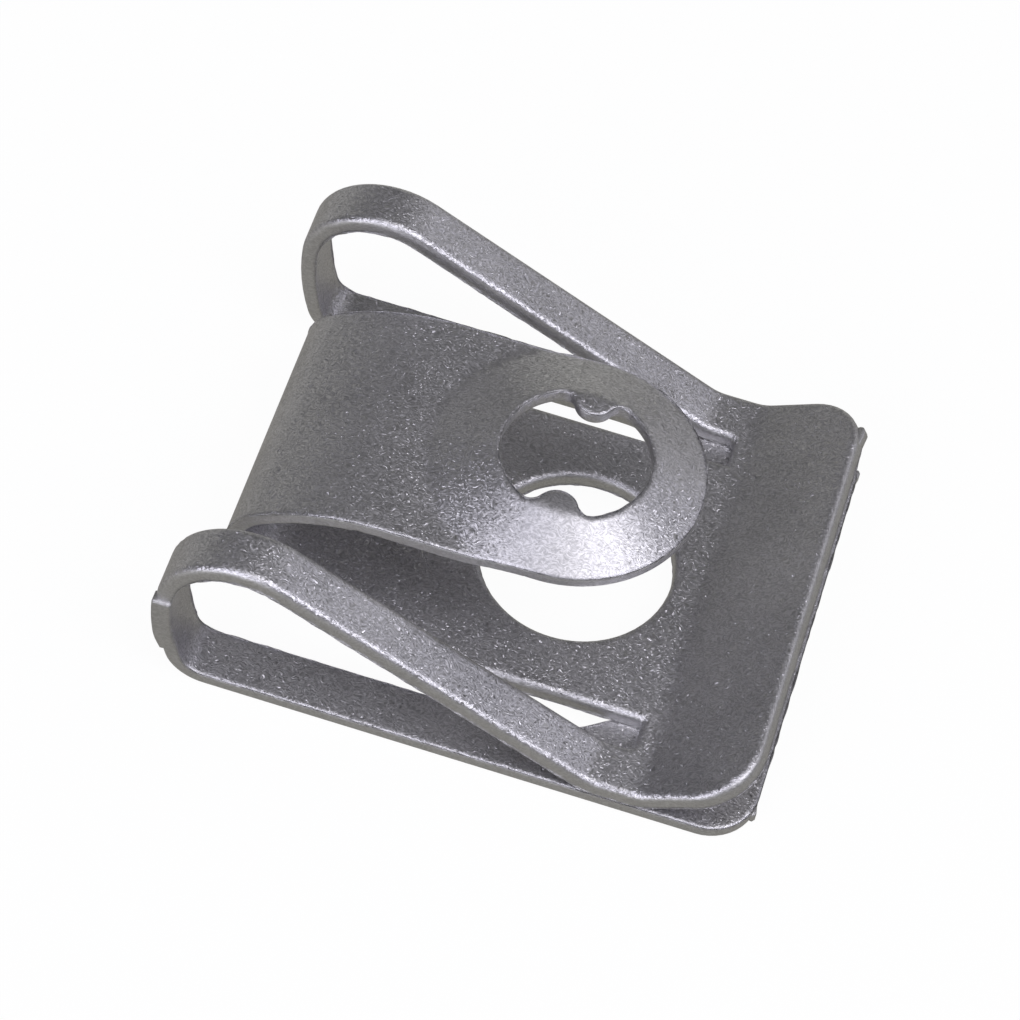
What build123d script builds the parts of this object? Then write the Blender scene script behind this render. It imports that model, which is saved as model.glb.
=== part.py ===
"""U clip speed nut: one strip of spring steel, blanked and folded into a clip.

Frame: millimetres, +Z up, +X from the folded end towards the open mouth, Y across the width.
The origin is the centre of the screw passage in the middle plate.

The sheet has these regions, all from the one blank:
  bottom leaf   flat on the ground, with a large window that the tongue was cut from
  two straps    rise from the leaf at the closed end, turn over and slope down to the valley
  valley        the line where the upper leaf nearly touches the bottom leaf and grips a panel
  lead-in       full-width plate that flares up from the valley towards the mouth
  middle plate  runs back from the valley between the straps, with the screw passage
  tongue        folds back over the middle plate and carries the coned thread form
"""
from build123d import *
import os
from math import acos, cos, degrees, radians, sin, tan

# ---- sheet and overall size
sheet = 0.55                # sheet thickness
clip_width = 16.0           # across Y
overall_height = 6.77       # underside of the bottom leaf to the strap crest
valley_gap = 0.05           # free gap between the two leaves at the valley
mouth_x = 7.82              # free edge of the bottom leaf
leaf_corner = 1.6           # plan corners of the bottom leaf at the mouth

# ---- straps, all bend radii on the middle of the sheet
strap_width = 1.7
heel_radius = 1.1           # tight bend up from the bottom leaf
riser_radius = 9.4          # slight bow of the upright
crest_radius = 2.47
crest_sweep = 87.0          # degrees of crest on the closed side of its top
strap_slope = 27.5          # degrees down towards the valley

# ---- valley and lead-in
valley_x = 3.9              # right end of the flat at the valley
valley_flat = 1.0
valley_radius = 1.4
lead_in_angle = 29.3        # degrees up towards the mouth
lead_in_length = 3.45       # straight part, along the slope
lead_in_corner = 1.9        # corners of the lead-in, in its own plane

# ---- middle plate
plate_width = 10.4
slit_end_x = 3.65           # where the slits beside the middle plate stop
slit_corner = 0.3
passage_radius = 3.15       # screw passage
shoulder_x = -4.0           # where the middle plate starts to narrow to the tongue
shoulder_length = 2.6
shoulder_round = 1.5

# ---- tongue
tongue_width = 8.4
tongue_top = 5.62           # top face above the underside of the bottom leaf
fold_radius = 1.75          # tight part of the fold
brow_radius = 7.1           # shallow part that runs out into the tongue
tongue_flat = 0.03          # flat stretch between the brow and the foot of the cone
thread_x = -0.65            # thread axis, also the centre of the tongue's round end
thread_radius = 2.4         # plain part of the thread hole
cone_slope = 23.3           # degrees
cone_foot = 4.6             # radius where the cone leaves the tongue, past the round end
cone_top = 2.25             # radius where the cone turns level for the teeth
cone_blend = 1.0            # bend radius at the foot
rim_blend = 0.6             # bend radius at the top
tooth_width = 1.3
tooth_gap = 3.1             # clear distance between the two tooth tips
tooth_root = 0.4            # fillet at each side of a tooth

# ---- window of the bottom leaf
window_end_x = 4.2
window_corner = 4.5

# ---- edges
die_roll = 0.2              # rounding of the blanked edges on the punch side
smooth_limit = 5.0          # degrees between faces that still count as one skin

# ---- heights that follow from the sizes above
ground_z = -(1.5 * sheet + valley_gap)      # underside of the bottom leaf
leaf_z = ground_z + sheet / 2               # middle of the bottom leaf's sheet
plate_z = leaf_z + sheet + valley_gap       # middle of the middle plate's sheet
parting_z = leaf_z + (sheet + valley_gap) / 2   # between the two leaves at the valley
crest_z = ground_z + overall_height - sheet / 2
tongue_z = ground_z + tongue_top - sheet / 2
window_width = clip_width - 2 * strap_width
far = 2 * (overall_height + clip_width)     # reach of the cutting prisms

# ---- side view of a strap, worked out back from the valley
slope_rad = radians(strap_slope)
sweep_rad = radians(crest_sweep)
slope_foot_x = valley_x - valley_flat - valley_radius * sin(slope_rad)
slope_foot_z = plate_z + valley_radius * (1 - cos(slope_rad))
slope_head_z = crest_z - crest_radius * (1 - cos(slope_rad))
slope_length = (slope_head_z - slope_foot_z) / sin(slope_rad)
crest_x = slope_foot_x - slope_length * cos(slope_rad) - crest_radius * sin(slope_rad)
# direction of the riser where the heel bend takes over, past level
lean_rad = acos((crest_radius * (1 - cos(sweep_rad)) + riser_radius * cos(sweep_rad)
                 + heel_radius - (crest_z - leaf_z)) / (riser_radius - heel_radius))
lean = degrees(lean_rad)
heel_x = (crest_x - crest_radius * sin(sweep_rad) + heel_radius * sin(lean_rad)
          - riser_radius * (sin(lean_rad) - sin(sweep_rad)))

# ---- side view of the fold between the middle plate and the tongue
fold_turn = degrees(acos((fold_radius + brow_radius - (tongue_z - plate_z))
                         / (fold_radius - brow_radius)))
brow_run = (brow_radius - fold_radius) * sin(radians(fold_turn))
half_slope_tan = tan(radians(cone_slope) / 2)
cone_reach = cone_foot + cone_blend * half_slope_tan
tongue_start_x = thread_x - cone_reach - tongue_flat
fold_x = tongue_start_x - brow_run

# ---- side view of the cone: a straight flank between its two bends
cone_run = cone_foot - cone_top
cone_rise = cone_run * tan(radians(cone_slope))
flank = cone_run / cos(radians(cone_slope)) - (cone_blend + rim_blend) * half_slope_tan


def strap_edge(shift):
    """One face of the sheet in side view, shifted outwards from its middle; gives both ends."""
    leaf = Line((mouth_x, leaf_z - shift), (heel_x, leaf_z - shift))
    heel = JernArc(leaf @ 1, leaf % 1, heel_radius + shift, lean - 180)
    riser = JernArc(heel @ 1, heel % 1, riser_radius + shift, crest_sweep - lean)
    crest = JernArc(riser @ 1, riser % 1, crest_radius + shift, -(crest_sweep + strap_slope))
    slope = Line(crest @ 1, crest @ 1 + (crest % 1) * slope_length)
    foot = JernArc(slope @ 1, slope % 1, valley_radius - shift, strap_slope)
    flat = Line(foot @ 1, foot @ 1 + (foot % 1) * valley_flat)
    flare = JernArc(flat @ 1, flat % 1, valley_radius - shift, lead_in_angle)
    lead_in = Line(flare @ 1, flare @ 1 + (flare % 1) * lead_in_length)
    return leaf @ 0, lead_in @ 1


def fold_edge(shift):
    """One face of the fold in side view, shifted outwards from the sheet's middle."""
    fold = JernArc((fold_x, plate_z - shift), (-1, 0), fold_radius + shift, -fold_turn)
    brow = JernArc(fold @ 1, fold % 1, brow_radius + shift, fold_turn - 180)
    return fold @ 0, brow @ 1


def sheet_section(edge):
    """Closed section of the sheet between its two faces."""
    with BuildSketch(Plane.XZ) as section:
        with BuildLine():
            outer_start, outer_end = edge(sheet / 2)
            inner_start, inner_end = edge(-sheet / 2)
            Line(outer_start, inner_start)
            Line(outer_end, inner_end)
        make_face()
    return section.sketch


def opening(end_x, corner):
    """Opening between the straps in plan, closed only at its +X end."""
    with BuildSketch(Plane.XY) as outline:
        with Locations((end_x - far / 2, 0)):
            Rectangle(far, window_width)
        fillet(outline.vertices().group_by(Axis.X)[-1], corner)
    return outline.sketch


def plate_outline():
    """Middle plate in plan, narrowing at its shoulders to the tongue."""
    with BuildSketch(Plane.XY) as outline:
        with BuildLine():
            Polyline(
                (fold_x, tongue_width / 2),
                (shoulder_x - shoulder_length, tongue_width / 2),
                (shoulder_x, plate_width / 2),
                (slit_end_x, plate_width / 2),
                (slit_end_x, -plate_width / 2),
                (shoulder_x, -plate_width / 2),
                (shoulder_x - shoulder_length, -tongue_width / 2),
                (fold_x, -tongue_width / 2),
                close=True,
            )
        make_face()
        shoulders = outline.vertices().group_by(Axis.X)[1:-1]
        fillet([vertex for pair in shoulders for vertex in pair], shoulder_round)
        Circle(passage_radius, mode=Mode.SUBTRACT)
    return outline.sketch


def tongue_outline():
    """Tongue in plan; its round end is centred on the thread axis."""
    straight = thread_x - tongue_start_x
    with BuildSketch(Plane.XY) as outline:
        with Locations((thread_x - straight / 2, 0)):
            Rectangle(straight, tongue_width)
        with Locations((thread_x, 0)):
            Circle(tongue_width / 2)
    return outline.sketch


def thread_hole():
    """Plan of the thread hole: a circle with two round-ended teeth that face each other across Y."""
    tip_radius = tooth_width / 2
    reach = thread_radius + sheet
    with BuildSketch(Plane.XY) as outline:
        with Locations((thread_x, 0)):
            Circle(thread_radius)
        for side in (1, -1):
            with Locations((thread_x, side * (tooth_gap / 2 + tip_radius))):
                Circle(tip_radius, mode=Mode.SUBTRACT)
            with Locations((thread_x, side * (tooth_gap / 2 + tip_radius + reach / 2))):
                Rectangle(tooth_width, reach, mode=Mode.SUBTRACT)
        # shrinking and growing again rounds the two roots of each tooth
        offset(amount=-tooth_root)
        offset(amount=tooth_root)
    return outline.sketch


def cone_edge(shift):
    """One face of the thread cone in side view, shifted upwards, from its foot in to its axis."""
    start = (thread_x + cone_reach, tongue_z + shift)
    base = JernArc(start, (-1, 0), cone_blend - shift, -cone_slope)
    cone = Line(base @ 1, base @ 1 + (base % 1) * flank)
    rim = JernArc(cone @ 1, cone % 1, rim_blend + shift, cone_slope)
    top = Line(rim @ 1, (thread_x, (rim @ 1).Y))
    return base @ 0, top @ 1


def punch_side_edges(part):
    """Blanked edges of the skin that the underside belongs to, which the punch rolled over."""
    skin = [part.faces().sort_by(Axis.Z)[0]]
    rim = []
    for face in skin:               # the list grows by each face that runs on smoothly
        for edge in face.edges():
            middle = edge @ 0.5
            for other in part.faces():
                if other == face or edge not in other.edges():
                    continue
                if face.normal_at(middle).get_angle(other.normal_at(middle)) > smooth_limit:
                    rim.append(edge)
                elif other not in skin:
                    skin.append(other)
    return rim


# the cone is pressed up out of the tongue round the thread hole, and runs out past its round end
with BuildPart() as thread_cone:
    revolve(sheet_section(cone_edge), Axis((thread_x, 0, 0), (0, 0, 1)))
    with BuildSketch(Plane.XY.offset(tongue_z - sheet)):
        add(tongue_outline())
    extrude(amount=cone_rise + 2 * sheet, mode=Mode.INTERSECT)

with BuildPart() as spring_clip:
    # leaf, straps, valley and lead-in: one strip, bent, then opened between the straps
    extrude(sheet_section(strap_edge), amount=clip_width / 2, both=True)
    with BuildSketch(Plane.XY.offset(ground_z)):
        add(opening(window_end_x, window_corner))
    extrude(amount=parting_z - ground_z, mode=Mode.SUBTRACT)
    with BuildSketch(Plane.XY.offset(parting_z)):
        add(opening(slit_end_x, slit_corner))
    extrude(amount=overall_height, mode=Mode.SUBTRACT)

    # round corners at the mouth, in the planes of the leaf and of the lead-in
    lead_in_normal = (-sin(radians(lead_in_angle)), 0, cos(radians(lead_in_angle)))
    leaf_corners = spring_clip.edges().filter_by(Axis.Z).group_by(Axis.X)[-1]
    lead_in_corners = spring_clip.edges().filter_by(Axis((0, 0, 0), lead_in_normal))
    fillet(leaf_corners, leaf_corner)
    fillet(lead_in_corners, lead_in_corner)

    # middle plate with the screw passage
    with BuildSketch(Plane.XY.offset(plate_z - sheet / 2)):
        add(plate_outline())
    extrude(amount=sheet)

    # fold and tongue, with the cone in its place and the thread hole through it
    extrude(sheet_section(fold_edge), amount=tongue_width / 2, both=True)
    with BuildSketch(Plane.XY.offset(tongue_z - sheet / 2)):
        add(tongue_outline())
        with Locations((thread_x, 0)):
            Circle(cone_reach, mode=Mode.SUBTRACT)
    extrude(amount=sheet)
    add(thread_cone)
    with BuildSketch(Plane.XY.offset(tongue_z - sheet)):
        add(thread_hole())
    extrude(amount=cone_rise + 2 * sheet, mode=Mode.SUBTRACT)

    fillet(punch_side_edges(spring_clip), die_roll)

spring_clip.part.label = "spring_clip"

os.makedirs("parts", exist_ok=True)
export_step(spring_clip.part, "parts/spring_clip.step")
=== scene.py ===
from math import cos, radians, sin

import bmesh
import bpy
from mathutils import Matrix, Vector
from mathutils.bvhtree import BVHTree
from mathutils.noise import turbulence


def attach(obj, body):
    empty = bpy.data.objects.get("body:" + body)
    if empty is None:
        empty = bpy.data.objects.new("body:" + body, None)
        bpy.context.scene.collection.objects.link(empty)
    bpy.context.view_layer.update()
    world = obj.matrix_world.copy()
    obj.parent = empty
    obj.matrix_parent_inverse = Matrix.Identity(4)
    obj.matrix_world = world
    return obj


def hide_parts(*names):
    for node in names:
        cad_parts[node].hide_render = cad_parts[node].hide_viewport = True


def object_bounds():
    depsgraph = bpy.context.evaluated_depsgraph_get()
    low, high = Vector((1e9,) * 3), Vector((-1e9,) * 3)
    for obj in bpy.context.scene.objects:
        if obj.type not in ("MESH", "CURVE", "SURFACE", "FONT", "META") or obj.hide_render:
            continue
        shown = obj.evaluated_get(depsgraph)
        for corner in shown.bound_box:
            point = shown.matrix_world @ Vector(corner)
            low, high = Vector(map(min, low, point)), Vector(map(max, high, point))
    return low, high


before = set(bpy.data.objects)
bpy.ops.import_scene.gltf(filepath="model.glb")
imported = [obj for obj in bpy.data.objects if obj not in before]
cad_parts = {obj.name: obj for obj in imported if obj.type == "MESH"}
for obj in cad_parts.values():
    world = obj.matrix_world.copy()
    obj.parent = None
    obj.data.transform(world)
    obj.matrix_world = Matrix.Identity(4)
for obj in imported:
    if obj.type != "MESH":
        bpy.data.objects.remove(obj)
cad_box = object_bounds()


# ---- sheet of the clip
# One blank of spring steel: stamped out, pierced, bent round a mandrel, hardened, dipped in a
# thin grey paint full of zinc and aluminium flakes, spun and baked. It is one piece throughout,
# with rolled faces and, where the punch went through, sheared walls.
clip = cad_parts["spring_clip"]
sheet_thickness = 0.55e-3
sheared_depth = 1.3 * sheet_thickness
weld_distance = 1e-7

# the solid is loose triangles, so a copy is welded into one closed skin that keeps its normals,
# and a face with more metal behind it than the sheet's thickness is a sheared wall
solid_normals = [corner.vector.copy() for corner in clip.data.corner_normals]
blank = bmesh.new()
blank.from_mesh(clip.data)
bmesh.ops.remove_doubles(blank, verts=blank.verts, dist=weld_distance)
metal = BVHTree.FromBMesh(blank)
for face in blank.faces:
    start = face.calc_center_median() - face.normal * weld_distance
    depth = metal.ray_cast(start, -face.normal)[3]
    face.material_index = 1 if depth > sheared_depth else 0
    face.smooth = True
sheet_mesh = bpy.data.meshes.new("clip_sheet")
blank.to_mesh(sheet_mesh)
blank.free()
sheet_mesh.normals_split_custom_set(solid_normals)
sheet = bpy.data.objects.new("clip_sheet", sheet_mesh)
bpy.context.scene.collection.objects.link(sheet)
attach(sheet, "root")
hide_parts("spring_clip")


def add(tree, kind, **settings):
    made = tree.nodes.new(kind)
    for name, value in settings.items():
        setattr(made, name, value)
    return made


def wire(tree, source, sink):
    if isinstance(source, (int, float)):
        sink.default_value = source
    else:
        tree.links.new(source, sink)


def noise(tree, place, scale, detail, roughness=0.5):
    made = add(tree, "ShaderNodeTexNoise")
    made.inputs["Detail"].default_value = detail
    made.inputs["Roughness"].default_value = roughness
    wire(tree, scale, made.inputs["Scale"])
    wire(tree, place, made.inputs["Vector"])
    return made


def span(tree, source, low, high, new_low=0.0, new_high=1.0):
    made = add(tree, "ShaderNodeMapRange")
    for socket, value in zip(("From Min", "From Max", "To Min", "To Max"), (low, high, new_low, new_high)):
        made.inputs[socket].default_value = value
    wire(tree, source, made.inputs["Value"])
    return made.outputs["Result"]


def maths(tree, operation, first, second):
    made = add(tree, "ShaderNodeMath", operation=operation)
    wire(tree, first, made.inputs[0])
    wire(tree, second, made.inputs[1])
    return made.outputs[0]


def turned(tree, place, shift, stretch):
    made = add(tree, "ShaderNodeMapping")
    made.inputs["Location"].default_value = (shift, 0, 0)
    made.inputs["Rotation"].default_value = (0, 0, rolling_direction)
    made.inputs["Scale"].default_value = (stretch, 1, 1)
    wire(tree, place, made.inputs["Vector"])
    return made.outputs["Vector"]


# most flakes lie nearly flat and a few stand up, so the dry film glitters in short curved
# strokes along the way the sheet was rolled. Places here are in millimetres.
rolling_direction = radians(25)
stroke_bend = (0.5, 0.5, 0.5)
noise_middle = (0.5, 0.5, 0.5)
lying_stretch = 0.45
standing_stretch = 0.55
standing_shift = 40.0
grain_strength = 0.75
cloud_strength = 0.3
# the punch rubbed the front of the cone, all smooth within the first distance of this place
# and not at all beyond the second
cone_front = (0.2, -2.8, 5.2)
rubbed_within, unrubbed_beyond = 1.5, 3.4
rubbed_tilt = 0.25

flakes = bpy.data.node_groups.new("zinc_flakes", "ShaderNodeTree")
for name, kind in (("Millimetres", "NodeSocketVector"), ("Surface", "NodeSocketVector"),
                   ("Strokes per mm", "NodeSocketFloat"), ("Lying tilt", "NodeSocketFloat"),
                   ("Standing tilt", "NodeSocketFloat")):
    flakes.interface.new_socket(name, in_out="INPUT", socket_type=kind)
for name, kind in (("Normal", "NodeSocketVector"), ("Standing", "NodeSocketFloat"),
                   ("Grain", "NodeSocketFloat")):
    flakes.interface.new_socket(name, in_out="OUTPUT", socket_type=kind)
given = add(flakes, "NodeGroupInput").outputs
result = add(flakes, "NodeGroupOutput").inputs

# the strokes bend a little
drift = noise(flakes, given["Millimetres"], scale=2.5, detail=1)
bend = add(flakes, "ShaderNodeVectorMath", operation="MULTIPLY_ADD")
bend.inputs[1].default_value = stroke_bend
wire(flakes, drift.outputs["Color"], bend.inputs[0])
wire(flakes, given["Millimetres"], bend.inputs[2])

# which way each flake leans
lying = turned(flakes, bend.outputs[0], 0.0, lying_stretch)
stroke = noise(flakes, lying, given["Strokes per mm"], detail=1)
lean = add(flakes, "ShaderNodeVectorMath", operation="SUBTRACT")
lean.inputs[1].default_value = noise_middle
wire(flakes, stroke.outputs["Color"], lean.inputs[0])

# which flakes stand up, fewer of them in worn patches
apart = turned(flakes, bend.outputs[0], standing_shift, standing_stretch)
upright = noise(flakes, apart, given["Strokes per mm"], detail=0)
standing = span(flakes, upright.outputs["Fac"], low=0.5, high=0.66)
worn = noise(flakes, given["Millimetres"], scale=0.8, detail=2, roughness=0.6)
patchy = span(flakes, worn.outputs["Fac"], low=0.35, high=0.65, new_low=0.55)
wire(flakes, maths(flakes, "MULTIPLY", standing, patchy), result["Standing"])

# how far they lean, less where the cone is rubbed
stands = maths(flakes, "MULTIPLY", maths(flakes, "MULTIPLY", standing, given["Standing tilt"]), patchy)
rub = add(flakes, "ShaderNodeVectorMath", operation="DISTANCE")
rub.inputs[1].default_value = cone_front
wire(flakes, given["Millimetres"], rub.inputs[0])
tilt_kept = span(flakes, rub.outputs["Value"], rubbed_within, unrubbed_beyond, new_low=rubbed_tilt)
tilt = maths(flakes, "MULTIPLY", maths(flakes, "ADD", stands, given["Lying tilt"]), tilt_kept)
leant = add(flakes, "ShaderNodeVectorMath", operation="SCALE")
wire(flakes, lean.outputs[0], leant.inputs[0])
wire(flakes, tilt, leant.inputs["Scale"])
raised = add(flakes, "ShaderNodeVectorMath", operation="ADD")
wire(flakes, given["Surface"], raised.inputs[0])
wire(flakes, leant.outputs[0], raised.inputs[1])
unit = add(flakes, "ShaderNodeVectorMath", operation="NORMALIZE")
wire(flakes, raised.outputs[0], unit.inputs[0])
wire(flakes, unit.outputs[0], result["Normal"])

# pale and dark specks over slow clouds of tone
dust = noise(flakes, lying, scale=17.0, detail=2, roughness=0.6)
dusty = span(flakes, dust.outputs["Fac"], low=0.4, high=0.6)
specks = maths(flakes, "MULTIPLY", dusty, grain_strength)
tone = noise(flakes, given["Millimetres"], scale=0.5, detail=3, roughness=0.6)
cloud = span(flakes, tone.outputs["Fac"], low=0.3, high=0.7, new_high=cloud_strength)
wire(flakes, maths(flakes, "ADD", specks, cloud), result["Grain"])

# painted shade: along sharp edges and creases, where the softened normal turns away from the face, the
# paint colour is darkened towards near black, standing for the dark line of the burr's shadow
edge_shade_width = 0.06e-3
edge_shade_colour = (0.09, 0.09, 0.095)
painted_edge_shade = bpy.data.node_groups.new("painted_edge_shade", "ShaderNodeTree")
painted_edge_shade.interface.new_socket("Painted shade", in_out="INPUT", socket_type="NodeSocketFloat")
painted_edge_shade.interface.new_socket("Mask", in_out="OUTPUT", socket_type="NodeSocketFloat")
given = add(painted_edge_shade, "NodeGroupInput").outputs
result = add(painted_edge_shade, "NodeGroupOutput").inputs
softened = add(painted_edge_shade, "ShaderNodeBevel", samples=4)
softened.inputs["Radius"].default_value = edge_shade_width
flat = add(painted_edge_shade, "ShaderNodeNewGeometry")
facing = add(painted_edge_shade, "ShaderNodeVectorMath", operation="DOT_PRODUCT")
wire(painted_edge_shade, softened.outputs["Normal"], facing.inputs[0])
wire(painted_edge_shade, flat.outputs["Normal"], facing.inputs[1])
turned_away = span(painted_edge_shade, facing.outputs["Value"], low=0.75, high=0.98, new_low=1.0, new_high=0.0)
wire(painted_edge_shade, maths(painted_edge_shade, "MULTIPLY", turned_away, given["Painted shade"]), result["Mask"])

mm_per_m = 1000
flake_metal = 0.95
film_rounding = 0.25e-3


def coating(name, dark, bright, roughness, polish, grain, lying_tilt, standing_tilt, painted_shade):
    made = bpy.data.materials.new(name)
    made.use_nodes = True
    tree = made.node_tree
    paint = tree.nodes["Principled BSDF"]
    paint.inputs["Metallic"].default_value = flake_metal
    place = add(tree, "ShaderNodeTexCoord")
    in_mm = add(tree, "ShaderNodeVectorMath", operation="SCALE")
    in_mm.inputs["Scale"].default_value = mm_per_m
    wire(tree, place.outputs["Object"], in_mm.inputs[0])
    rounded = add(tree, "ShaderNodeBevel", samples=8)
    rounded.inputs["Radius"].default_value = film_rounding

    film = add(tree, "ShaderNodeGroup")
    film.node_tree = flakes
    wire(tree, in_mm.outputs[0], film.inputs["Millimetres"])
    wire(tree, rounded.outputs["Normal"], film.inputs["Surface"])
    film.inputs["Strokes per mm"].default_value = grain
    film.inputs["Lying tilt"].default_value = lying_tilt
    film.inputs["Standing tilt"].default_value = standing_tilt
    wire(tree, film.outputs["Normal"], paint.inputs["Normal"])
    gloss = span(tree, film.outputs["Standing"], low=0, high=1, new_low=roughness, new_high=polish)
    wire(tree, gloss, paint.inputs["Roughness"])

    mix = add(tree, "ShaderNodeMix", data_type="RGBA")
    mix.inputs["A"].default_value = (*dark, 1)
    mix.inputs["B"].default_value = (*bright, 1)
    wire(tree, film.outputs["Grain"], mix.inputs["Factor"])
    edge_shading = add(tree, "ShaderNodeGroup")
    edge_shading.node_tree = painted_edge_shade
    edge_shading.inputs["Painted shade"].default_value = painted_shade
    # painted shade: the edge mask mixes the near-black shade colour into the paint along sharp edges and
    # creases
    edge = add(tree, "ShaderNodeMix", data_type="RGBA")
    edge.inputs["B"].default_value = (*edge_shade_colour, 1)
    wire(tree, edge_shading.outputs["Mask"], edge.inputs["Factor"])
    wire(tree, mix.outputs["Result"], edge.inputs["A"])
    wire(tree, edge.outputs["Result"], paint.inputs["Base Color"])
    return made


rolled_face = coating("rolled_face", dark=(0.37, 0.365, 0.38), bright=(0.62, 0.61, 0.635),
                      roughness=0.42, polish=0.38, grain=18.5, lying_tilt=0.66, standing_tilt=1.5,
                      painted_shade=0.75)
sheared_wall = coating("sheared_wall", dark=(0.43, 0.425, 0.43), bright=(0.58, 0.575, 0.58),
                       roughness=0.45, polish=0.42, grain=18.0, lying_tilt=0.3, standing_tilt=0.3,
                       painted_shade=0.75)
sheet.data.materials.append(rolled_face)
sheet.data.materials.append(sheared_wall)


# ---- burr
# The punch drags a thin rough lip of steel out of the sheet where it breaks through, so every
# sharp edge carries an uneven burr. The opposite edges are rolled over and have none.
sharp_edge = radians(60)
burr_most = 0.035e-3
burr_least = 0.008e-3
burr_step = 0.2e-3
tears_per_m = 1500
tear_octaves = 2
tear_height = 1.6
torn_lip = coating("torn_lip", dark=(0.45, 0.445, 0.455), bright=(0.70, 0.69, 0.71),
                   roughness=0.4, polish=0.35, grain=18.0, lying_tilt=0.3, standing_tilt=0.3,
                   painted_shade=0.1)

lip = bmesh.new()
lip.from_mesh(sheet_mesh)
rolled = [edge for edge in lip.edges if edge.calc_face_angle(0.0) < sharp_edge]
bmesh.ops.delete(lip, geom=list(lip.faces), context="FACES_ONLY")
bmesh.ops.delete(lip, geom=rolled, context="EDGES")
loose = [vert for vert in lip.verts if not vert.link_edges]
bmesh.ops.delete(lip, geom=loose, context="VERTS")
for edge in list(lip.edges):
    cuts = int(edge.calc_length() / burr_step)
    if cuts > 0:
        bmesh.ops.subdivide_edges(lip, edges=[edge], cuts=cuts)
lip_mesh = bpy.data.meshes.new("burr")
lip.to_mesh(lip_mesh)
lip.free()
burr = bpy.data.objects.new("burr", lip_mesh)
bpy.context.scene.collection.objects.link(burr)
bpy.ops.object.select_all(action="DESELECT")
bpy.context.view_layer.objects.active = burr
burr.select_set(True)
bpy.ops.object.convert(target="CURVE")
burr = bpy.context.object
burr.data.bevel_depth = burr_most
burr.data.bevel_resolution = 1
burr.data.use_fill_caps = True
for run in burr.data.splines:
    for point in run.points:
        torn = abs(turbulence(point.co.xyz * tears_per_m, tear_octaves, False)) * tear_height
        point.radius = min(max(torn, burr_least / burr_most), 1.0)
bpy.ops.object.convert(target="MESH")
burr = bpy.context.object
burr.name = "burr"
burr.data.materials.append(torn_lip)
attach(burr, "root")


# ---- stub of the carrier tab
# The blanks leave the press joined in a strip by small tabs. This one was cut a little short
# of the front strap's upright, and its stub stands proud of the sheared edge.
def finish_piece(name, shape, coat):
    mesh = bpy.data.meshes.new(name)
    bmesh.ops.recalc_face_normals(shape, faces=shape.faces)
    shape.to_mesh(mesh)
    shape.free()
    mesh.materials.append(coat)
    piece = bpy.data.objects.new(name, mesh)
    bpy.context.scene.collection.objects.link(piece)
    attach(piece, "root")


upright_middle = Vector((-1.92e-3, 0, 2.786e-3))
upright_radius = 9.677e-3
stub_foot, stub_head = radians(-14.0), radians(2.6)
strap_side = -8.0e-3
stub_proud = 0.12e-3
stub_out = 0.07e-3
stub_root = 0.3e-3
stub_sunk = 0.05e-3
stub_ramp = 0.9e-3
stub_rounding = 0.03e-3
shape = bmesh.new()
outer, inner = -upright_radius - stub_out, -upright_radius + sheet_thickness
front, back = strap_side - stub_proud, strap_side + stub_root
corners = [shape.verts.new(place) for place in
           ((outer, front, 0), (outer, back, 0), (inner, back, 0), (inner, front, 0))]
section = shape.faces.new(corners)
bmesh.ops.rotate(shape, verts=shape.verts, cent=(0, 0, 0), matrix=Matrix.Rotation(stub_head, 3, "Y"))
bmesh.ops.spin(shape, geom=[section], cent=(0, 0, 0), axis=(0, 1, 0),
               angle=stub_foot - stub_head, steps=8, use_merge=False)
bmesh.ops.translate(shape, verts=shape.verts, vec=upright_middle)
# the stub rises out of the strap's side from its foot
lowest = min(vert.co.z for vert in shape.verts)
for vert in shape.verts:
    if vert.co.y < strap_side:
        rise = min((vert.co.z - lowest) / stub_ramp, 1.0)
        vert.co.y = strap_side + stub_sunk - (stub_proud + stub_sunk) * rise
bmesh.ops.bevel(shape, geom=list(shape.edges), offset=stub_rounding, affect="EDGES", segments=2,
                profile=0.5, material=-1, clamp_overlap=True)
finish_piece("tab_stub", shape, sheared_wall)


# ---- nibs at the mouth's corners
# The punch that rounded the corners stopped short of the cut across the mouth, and left a
# small nib of the sheet standing at each meeting of the two cuts.
nib_rounding = 0.035e-3


def corner_nib(name, edge_middle, outward, outline, thickness):
    shape = bmesh.new()
    across = outward.cross(Vector((0, 1, 0)))
    rim = [shape.verts.new(edge_middle + outward * out + Vector((0, along, 0)) - across * thickness / 2)
           for out, along in outline]
    cap = shape.faces.new(rim)
    raised = bmesh.ops.extrude_face_region(shape, geom=[cap])
    top = [part for part in raised["geom"] if isinstance(part, bmesh.types.BMVert)]
    bmesh.ops.translate(shape, verts=top, vec=across * thickness)
    bmesh.ops.bevel(shape, geom=list(shape.edges), offset=nib_rounding, affect="EDGES", segments=2,
                    profile=0.5, material=-1, clamp_overlap=True)
    finish_piece(name, shape, sheared_wall)


lead_in_slope = radians(29.3)
lead_in_out = Vector((cos(lead_in_slope), 0, sin(lead_in_slope)))
lead_in_edge = Vector((7.65e-3, 0, 1.75e-3))
lead_in_nib_thickness = 0.36e-3
leaf_out = Vector((1, 0, 0))
leaf_edge = Vector((7.82e-3, 0, -0.6e-3))
leaf_nib_thickness = 0.4e-3
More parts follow.
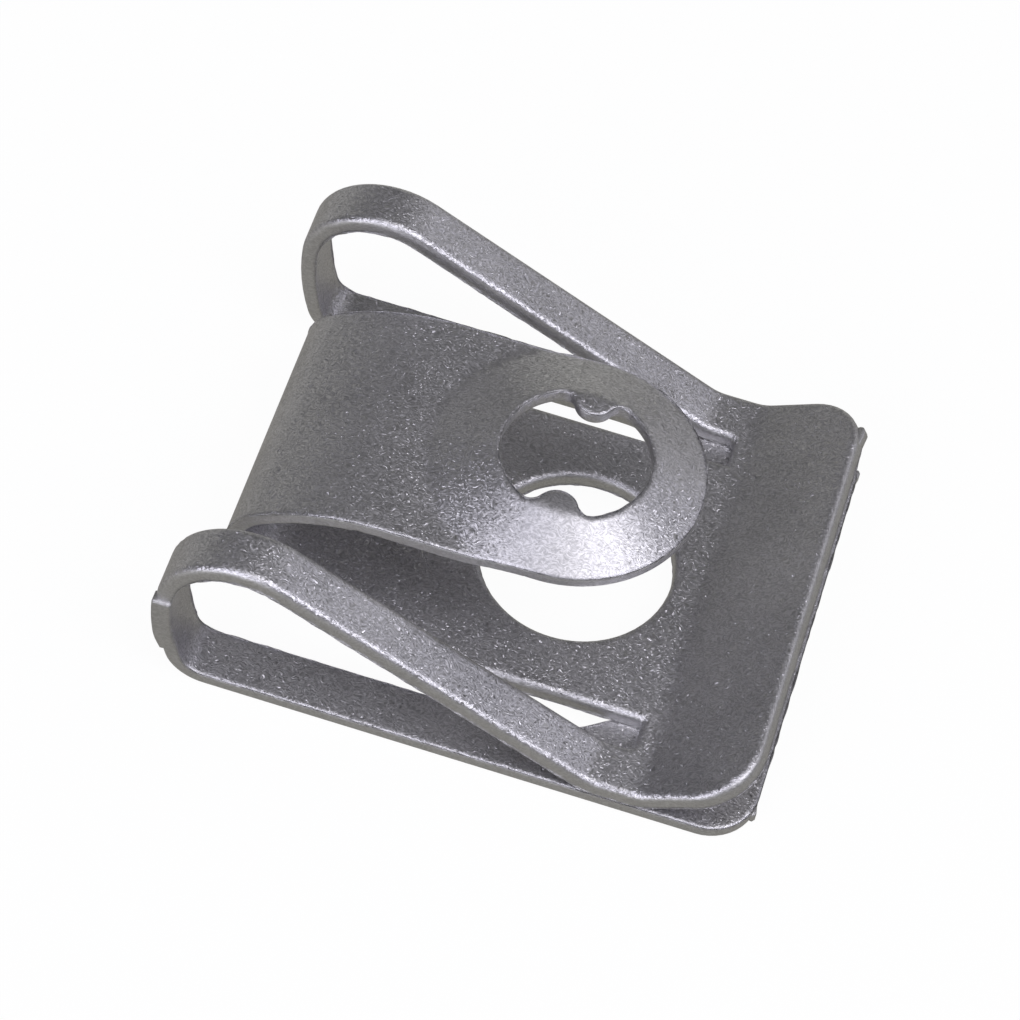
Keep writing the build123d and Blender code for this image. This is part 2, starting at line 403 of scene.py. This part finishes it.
# each outline goes round the nib: out from the cut, and along the mouth
lead_in_nib = [(-0.5e-3, 6.25e-3), (-0.02e-3, 6.25e-3), (0.06e-3, 6.85e-3), (0.0, 7.0e-3),
               (-0.12e-3, 7.03e-3), (-0.5e-3, 6.9e-3)]
leaf_nib = [(-0.4e-3, 6.45e-3), (-0.02e-3, 6.45e-3), (0.06e-3, 6.86e-3), (-0.02e-3, 6.97e-3),
            (-0.4e-3, 6.9e-3)]
front_nib = [(out, -along) for out, along in leaf_nib]
corner_nib("lead_in_nib", lead_in_edge, lead_in_out, lead_in_nib, lead_in_nib_thickness)
corner_nib("leaf_nib_rear", leaf_edge, leaf_out, leaf_nib, leaf_nib_thickness)
corner_nib("leaf_nib_front", leaf_edge, leaf_out, front_nib, leaf_nib_thickness)


# ---- floor
# A plain white sheet under the clip. It is white to the camera and far off, the metal sees
# the warm grey that it has in the clip's own shade near by, and it keeps the clip's shadow.
floor_size = 2.0
paper_white = (0.9, 0.9, 0.9)
shaded_grey = (0.36, 0.35, 0.31)
shade_ends, white_starts = 0.025, 0.12
glow_share = 0.96
bpy.ops.mesh.primitive_plane_add(size=floor_size)
floor = bpy.context.object
floor.name = "floor"
floor.data.transform(Matrix.Translation((0, 0, cad_box[0].z)))
paper = bpy.data.materials.new("floor_paper")
paper.use_nodes = True
tree = paper.node_tree
diffuse = tree.nodes["Principled BSDF"]
diffuse.inputs["Base Color"].default_value = (*paper_white, 1)
diffuse.inputs["Roughness"].default_value = 1.0
glow = add(tree, "ShaderNodeEmission")
mix = add(tree, "ShaderNodeMixShader")
rays = add(tree, "ShaderNodeLightPath").outputs
spot = add(tree, "ShaderNodeTexCoord")
away = add(tree, "ShaderNodeVectorMath", operation="LENGTH")
wire(tree, spot.outputs["Object"], away.inputs[0])
tint = add(tree, "ShaderNodeMix", data_type="RGBA")
tint.inputs["A"].default_value = (*shaded_grey, 1)
tint.inputs["B"].default_value = (1, 1, 1, 1)
far_off = span(tree, away.outputs["Value"], shade_ends, white_starts)
wire(tree, maths(tree, "MAXIMUM", rays["Is Camera Ray"], far_off), tint.inputs["Factor"])
wire(tree, tint.outputs["Result"], glow.inputs["Color"])
seen = maths(tree, "MAXIMUM", rays["Is Camera Ray"], rays["Is Glossy Ray"])
seen = maths(tree, "MAXIMUM", seen, rays["Is Transmission Ray"])
wire(tree, maths(tree, "MULTIPLY", seen, glow_share), mix.inputs[0])
wire(tree, diffuse.outputs[0], mix.inputs[1])
wire(tree, glow.outputs[0], mix.inputs[2])
wire(tree, mix.outputs[0], tree.nodes["Material Output"].inputs["Surface"])
floor.data.materials.append(paper)


# ---- light
# A dim pale room with soft round lamps all round, as in a small light tent: the strong ones
# stand over the right corner and the front, and the weak warm ones low at the back.
room_strength = 0.03
lamp_distance = 0.35
cool = (0.905, 0.90, 1.0)
plain = (1.0, 0.99, 0.99)
warm = (1.0, 1.0, 0.88)
lamps = [
    # name, height and bearing in degrees, width in metres, power in watts, colour
    ("key_right", 48, -27, 0.27, 0.54, cool),
    ("front_left", 28, -117, 0.27, 0.68, cool),
    ("top_right", 68, -30, 0.24, 0.28, plain),
    ("top_left", 68, -133, 0.2, 0.21, cool),
    ("back_right", 28, 27, 0.2, 0.10, cool),
    ("back_side", 28, 63, 0.2, 0.066, plain),
    ("back_left", 28, 135, 0.2, 0.020, plain),
    ("top_back", 68, 124, 0.2, 0.03, plain),
    ("low_back", 8, 99, 0.2, 0.051, warm),
    ("low_left", 8, 144, 0.2, 0.031, warm),
]
world = bpy.data.worlds.new("pale_room")
bpy.context.scene.world = world
world.use_nodes = True
room = world.node_tree.nodes["Background"]
room.inputs["Color"].default_value = (1, 1, 1, 1)
room.inputs["Strength"].default_value = room_strength
for name, height, bearing, width, watts, colour in lamps:
    lamp = bpy.data.lights.new(name, "AREA")
    lamp.shape = "DISK"
    lamp.size = width
    lamp.energy = watts
    lamp.color = colour
    holder = bpy.data.objects.new(name, lamp)
    bpy.context.scene.collection.objects.link(holder)
    reach = lamp_distance * cos(radians(height))
    holder.location = (reach * cos(radians(bearing)), reach * sin(radians(bearing)),
                       lamp_distance * sin(radians(height)))
    holder.rotation_euler = Vector(holder.location).to_track_quat("Z", "Y").to_euler()


# ---- camera
# A long lens well above the open front corner, rolled a little, so that the loops of both
# straps, the cone and the mouth all show.
aim = Vector((-0.00241, 0, 0.00167))
distance = 0.1285
azimuth, elevation, roll = radians(8.57), radians(55.32), radians(9.70)
turn = (Matrix.Rotation(azimuth, 3, "Z") @ Matrix.Rotation(radians(90) - elevation, 3, "X")
        @ Matrix.Rotation(roll, 3, "Z"))
camera_data = bpy.data.cameras.new("camera")
camera_data.sensor_width = 36
camera_data.lens = 142.4
camera_data.clip_start = 0.01
camera = bpy.data.objects.new("camera", camera_data)
bpy.context.scene.collection.objects.link(camera)
camera.matrix_world = Matrix.Translation(aim + turn @ Vector((0, 0, distance))) @ turn.to_4x4()
bpy.context.scene.camera = camera

bpy.context.scene.view_settings.view_transform = "Standard"
